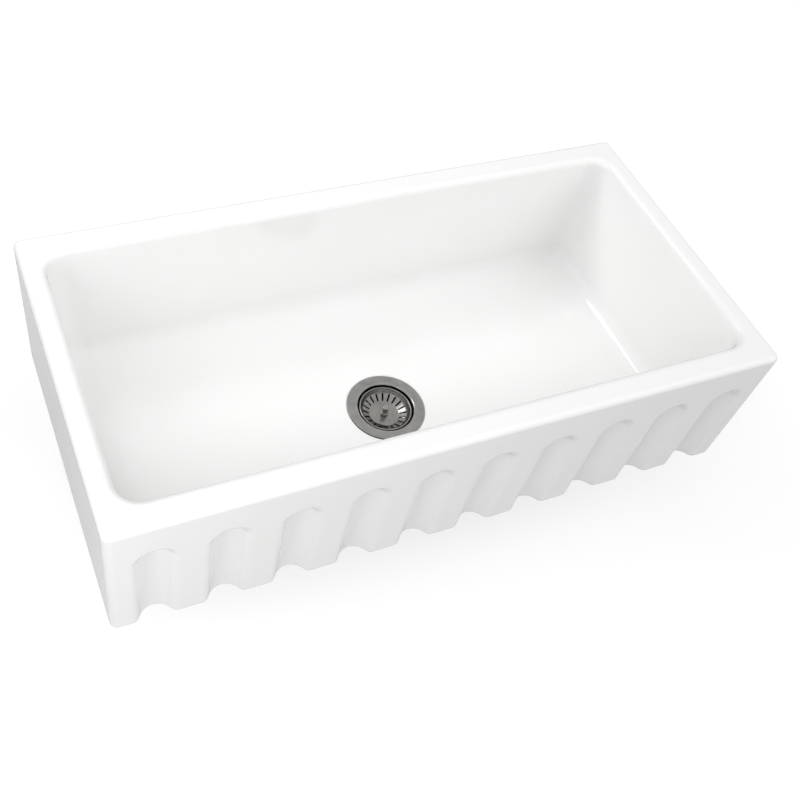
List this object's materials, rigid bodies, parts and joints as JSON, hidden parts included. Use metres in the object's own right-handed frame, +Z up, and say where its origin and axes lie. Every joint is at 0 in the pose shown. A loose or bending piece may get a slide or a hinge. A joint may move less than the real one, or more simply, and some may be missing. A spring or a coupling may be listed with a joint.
{
  "type": "farmhouse apron front sink",
  "caption": "Rectangular single-bowl apron front kitchen sink in white glazed fireclay, with a fluted front and a stainless basket strainer in the drain.",
  "frame": {"origin": "On the axis of the drain, in the plane of the sink's flat underside", "axes": "+Z up along the drain's axis, +X to the right along the fluted apron seen from in front, +Y from the apron to the back wall"},
  "size_m": [0.914, 0.457, 0.3768],
  "materials": {
    "fireclay_glaze": "glossy white glaze",
    "brushed_stainless": "brushed",
    "polished_stainless": "polished",
    "spring_steel": "bright drawn",
    "zinc_plated_steel": "zinc plated",
    "plain_brass": "turned",
    "chromed_brass": "chrome plated",
    "black_rubber": "matt moulded",
    "pressed_fibre": "pressed",
    "white_nylon": "moulded"
  },
  "bodies": {
    "root": {"sink_body": "fireclay_glaze", "strainer_body": "brushed_stainless", "outlet_nipple": "plain_brass", "crosspiece": "brushed_stainless", "flange_seal": "black_rubber", "rubber_gasket": "black_rubber", "fibre_washer": "pressed_fibre", "lock_nut": "zinc_plated_steel", "tailpiece_washer": "white_nylon", "tailpiece": "chromed_brass", "coupling_nut": "chromed_brass"},
    "catch": {"catch_clip": "spring_steel"},
    "basket": {"basket_bowl": "polished_stainless", "basket_knob": "polished_stainless", "basket_stem": "polished_stainless", "stem_sleeve": "white_nylon", "stopper": "black_rubber", "stopper_washer": "polished_stainless"}
  },
  "joints": [
    {"name": "basket_turn", "type": "hinge", "parent": "root", "child": "catch", "pos_m": [0, 0, 0], "axis": [0, 0, 1], "continuous": true},
    {"name": "basket_lift", "type": "slide", "parent": "catch", "child": "basket", "axis": [0, 0, 1], "range_m": [0, 0.28]}
  ]
}
